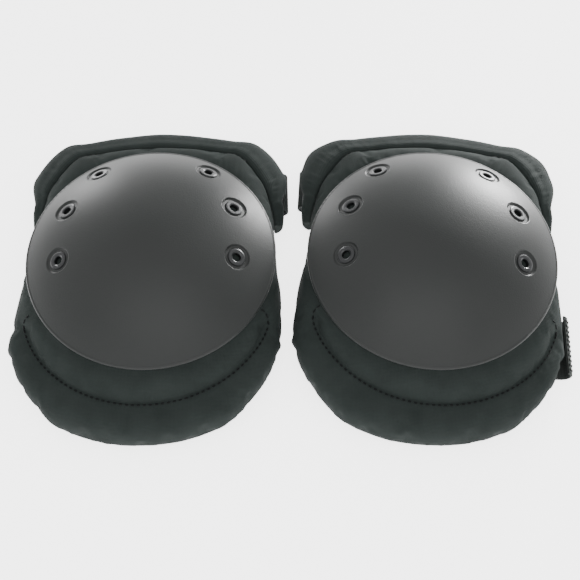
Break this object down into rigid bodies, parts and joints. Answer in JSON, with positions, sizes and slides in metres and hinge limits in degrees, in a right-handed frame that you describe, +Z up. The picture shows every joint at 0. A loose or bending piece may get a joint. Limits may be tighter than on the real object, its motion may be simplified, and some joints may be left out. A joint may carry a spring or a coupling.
{
  "type": "knee guards",
  "caption": "Pair of knee guards: domed hard caps riveted to padded woven bodies with a rolled thigh edge, held on by hook-and-loop elastic straps through rings.",
  "frame": {"origin": "on the table under the middle of the pair's outline", "axes": "+X across the pair, from the left guard to the right one; +Y towards the thigh ends; +Z up, out of the domed caps"},
  "size_m": [0.3802, 0.2386, 0.0722],
  "materials": {
    "cap_plastic": "fine matt moulded",
    "black_metal": "black satin",
    "plated_steel": "plated",
    "woven_nylon": "plain woven",
    "foam": "closed-cell foam",
    "lining_fabric": "brushed knit",
    "elastic_webbing": "ribbed elastic",
    "tab_webbing": "woven webbing",
    "ring_plastic": "moulded",
    "hook_tape": "hook tape",
    "loop_tape": "loop tape"
  },
  "bodies": {
    "left_guard": {"left_cap": "cap_plastic", "left_eyelets": "black_metal", "left_eyelet_washers": "plated_steel", "left_front_panel": "woven_nylon", "left_foam_pad": "foam", "left_back_lining": "lining_fabric", "left_roll_cover": "woven_nylon", "left_roll_core": "foam", "left_upper_strap": "elastic_webbing", "left_upper_tab": "tab_webbing", "left_upper_loop_patch": "loop_tape", "left_lower_strap": "elastic_webbing", "left_lower_tab": "tab_webbing", "left_lower_loop_patch": "loop_tape"},
    "right_guard": {"right_cap": "cap_plastic", "right_eyelets": "black_metal", "right_eyelet_washers": "plated_steel", "right_front_panel": "woven_nylon", "right_foam_pad": "foam", "right_back_lining": "lining_fabric", "right_roll_cover": "woven_nylon", "right_roll_core": "foam", "right_upper_strap": "elastic_webbing", "right_upper_tab": "tab_webbing", "right_upper_loop_patch": "loop_tape", "right_lower_strap": "elastic_webbing", "right_lower_tab": "tab_webbing", "right_lower_loop_patch": "loop_tape"},
    "left_upper_ring_body": {"left_upper_ring": "ring_plastic"},
    "left_upper_end_body": {"left_upper_strap_end": "elastic_webbing", "left_upper_hook_patch": "hook_tape"},
    "left_lower_ring_body": {"left_lower_ring": "ring_plastic"},
    "left_lower_end_body": {"left_lower_strap_end": "elastic_webbing", "left_lower_hook_patch": "hook_tape"},
    "right_upper_ring_body": {"right_upper_ring": "ring_plastic"},
    "right_upper_end_body": {"right_upper_strap_end": "elastic_webbing", "right_upper_hook_patch": "hook_tape"},
    "right_lower_ring_body": {"right_lower_ring": "ring_plastic"},
    "right_lower_end_body": {"right_lower_strap_end": "elastic_webbing", "right_lower_hook_patch": "hook_tape"}
  },
  "joints": [
    {"name": "left_upper_ring_swing", "type": "hinge", "parent": "left_guard", "child": "left_upper_ring_body", "pos_m": [-0.17497, 0.07463, 0.0043], "axis": [-0.0209, 0.9998, 0], "range_deg": [0, 20]},
    {"name": "left_upper_strap_peel", "type": "hinge", "parent": "left_upper_ring_body", "child": "left_upper_end_body", "pos_m": [-0.15697, 0.07501, 0.0043], "axis": [-0.0209, 0.9998, 0], "range_deg": [0, 150]},
    {"name": "left_lower_ring_swing", "type": "hinge", "parent": "left_guard", "child": "left_lower_ring_body", "pos_m": [-0.17766, -0.03545, 0.0043], "axis": [-0.0209, 0.9998, 0], "range_deg": [0, 20]},
    {"name": "left_lower_strap_peel", "type": "hinge", "parent": "left_lower_ring_body", "child": "left_lower_end_body", "pos_m": [-0.15967, -0.03507, 0.0043], "axis": [-0.0209, 0.9998, 0], "range_deg": [0, 150]},
    {"name": "right_guard_apart", "type": "slide", "parent": "left_guard", "child": "right_guard", "axis": [1, 0, 0], "range_m": [0, 0.15]},
    {"name": "right_upper_ring_swing", "type": "hinge", "parent": "right_guard", "child": "right_upper_ring_body", "pos_m": [0.17734, 0.07178, 0.0043], "axis": [-0.0558, -0.9984, 0], "range_deg": [0, 20]},
    {"name": "right_upper_strap_peel", "type": "hinge", "parent": "right_upper_ring_body", "child": "right_upper_end_body", "pos_m": [0.15937, 0.07278, 0.0043], "axis": [-0.0558, -0.9984, 0], "range_deg": [0, 150]},
    {"name": "right_lower_ring_swing", "type": "hinge", "parent": "right_guard", "child": "right_lower_ring_body", "pos_m": [0.17572, -0.04682, 0.0043], "axis": [-0.0558, -0.9984, 0], "range_deg": [0, 20]},
    {"name": "right_lower_strap_peel", "type": "hinge", "parent": "right_lower_ring_body", "child": "right_lower_end_body", "pos_m": [0.15775, -0.04581, 0.0043], "axis": [-0.0558, -0.9984, 0], "range_deg": [0, 150]}
  ]
}
